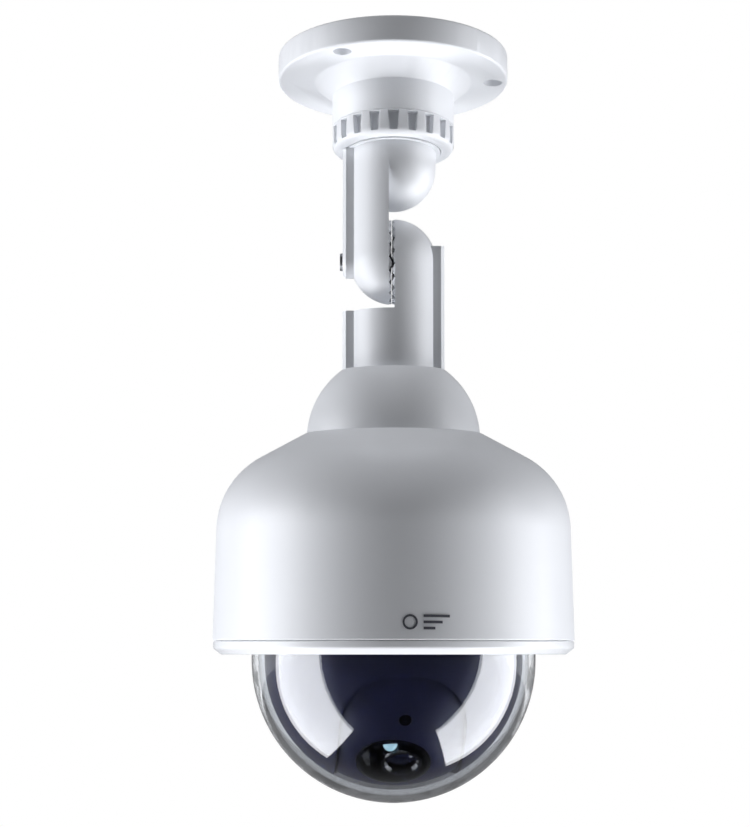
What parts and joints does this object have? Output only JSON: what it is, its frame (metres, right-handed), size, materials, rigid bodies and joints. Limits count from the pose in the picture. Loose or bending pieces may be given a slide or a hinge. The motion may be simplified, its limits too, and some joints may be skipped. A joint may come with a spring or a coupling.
{
  "type": "dome security camera",
  "caption": "Dome security camera on a pan and tilt ceiling bracket, with a bell housing, clear dome and black lens turret.",
  "frame": {"origin": "centre of the mounting face, where the disc meets the ceiling", "axes": "+Z out of the mounting face, up into the ceiling; -Y is the front; X is the tilt hinge axis"},
  "size_m": [0.1306, 0.1345, 0.2737],
  "materials": {
    "white_abs": "satin moulded ABS",
    "trim_abs": "polished moulded ABS",
    "zinc_steel": "bright zinc plate",
    "fibre": "vulcanised fibre",
    "gasket": "soft foam rubber",
    "clear_dome": "clear polished acrylic",
    "black_abs": "satin black ABS",
    "black_gloss": "polished black ABS",
    "optic": "polished",
    "led_resin": "clear epoxy",
    "board": "solder-masked glass fibre laminate",
    "component_black": "moulded epoxy",
    "capacitor_sleeve": "shrink sleeve",
    "cell_sleeve": "printed foil",
    "spring_steel": "nickel plate",
    "lead_red_pvc": "extruded PVC",
    "lead_black_pvc": "extruded PVC"
  },
  "bodies": {
    "base": {"mount_base": "white_abs", "friction_washer": "fibre"},
    "nut": {"ring_nut": "white_abs"},
    "pan_arm": {"upper_arm": "white_abs", "flat_washer": "zinc_steel", "spring_washer": "zinc_steel"},
    "clamp_bolt": {"hinge_bolt": "zinc_steel"},
    "head": {"lower_arm": "white_abs", "hinge_nut": "zinc_steel", "neck_cap": "white_abs", "arm_washer": "zinc_steel", "arm_screw": "zinc_steel", "bell_housing": "white_abs", "cap_screws": "zinc_steel", "turret_carrier": "black_abs", "carrier_screws": "zinc_steel", "battery_holder": "black_abs", "battery_cells": "cell_sleeve", "battery_springs": "spring_steel", "battery_contacts": "spring_steel", "holder_screws": "zinc_steel", "switch_body": "component_black", "lead_socket": "black_abs", "lead_red": "lead_red_pvc", "lead_black": "lead_black_pvc"},
    "dome_ring": {"trim_ring": "trim_abs", "dome_cover": "clear_dome", "dome_gasket": "gasket"},
    "turret": {"turret_frame": "black_abs", "inner_shroud": "black_abs", "shroud_screws": "zinc_steel"},
    "drum": {"lens_drum": "black_abs", "pivot_screws": "zinc_steel", "lens_bezel": "black_abs", "lens_barrel": "black_gloss", "lens_glass": "optic", "lens_retainer": "black_gloss", "led_lamp": "led_resin", "led_board": "board", "board_screws": "zinc_steel", "timer_chip": "component_black", "board_capacitor": "capacitor_sleeve", "board_resistors": "component_black", "sensor_window": "black_gloss"},
    "switch": {"switch_slider": "black_abs"}
  },
  "joints": [
    {"name": "bracket_pan", "type": "hinge", "parent": "base", "child": "pan_arm", "pos_m": [0, 0, -0.0382], "axis": [0, 0, 1], "continuous": true},
    {"name": "ring_nut_turn", "type": "hinge", "parent": "base", "child": "nut", "pos_m": [0, 0, -0.0345], "axis": [0, 0, 1], "range_deg": [0, 90]},
    {"name": "head_tilt", "type": "hinge", "parent": "pan_arm", "child": "head", "pos_m": [0, 0, -0.0796], "axis": [1, 0, 0], "range_deg": [-99, 81]},
    {"name": "clamp_bolt_turn", "type": "hinge", "parent": "pan_arm", "child": "clamp_bolt", "pos_m": [0, 0, -0.0796], "axis": [1, 0, 0], "range_deg": [0, 180]},
    {"name": "dome_ring_turn", "type": "hinge", "parent": "head", "child": "dome_ring", "pos_m": [0, 0, -0.0796], "axis": [0, -0.1564, 0.9877], "range_deg": [0, 30]},
    {"name": "turret_pan", "type": "hinge", "parent": "head", "child": "turret", "pos_m": [0, 0, -0.0796], "axis": [0, -0.1564, 0.9877], "continuous": true},
    {"name": "lens_tilt", "type": "hinge", "parent": "turret", "child": "drum", "pos_m": [0, 0.02264, -0.22252], "axis": [0.9962, 0.0861, 0.0136], "range_deg": [-26, 36]},
    {"name": "power_switch", "type": "slide", "parent": "head", "child": "switch", "axis": [1, 0, 0], "range_m": [0, 0.0025]}
  ]
}
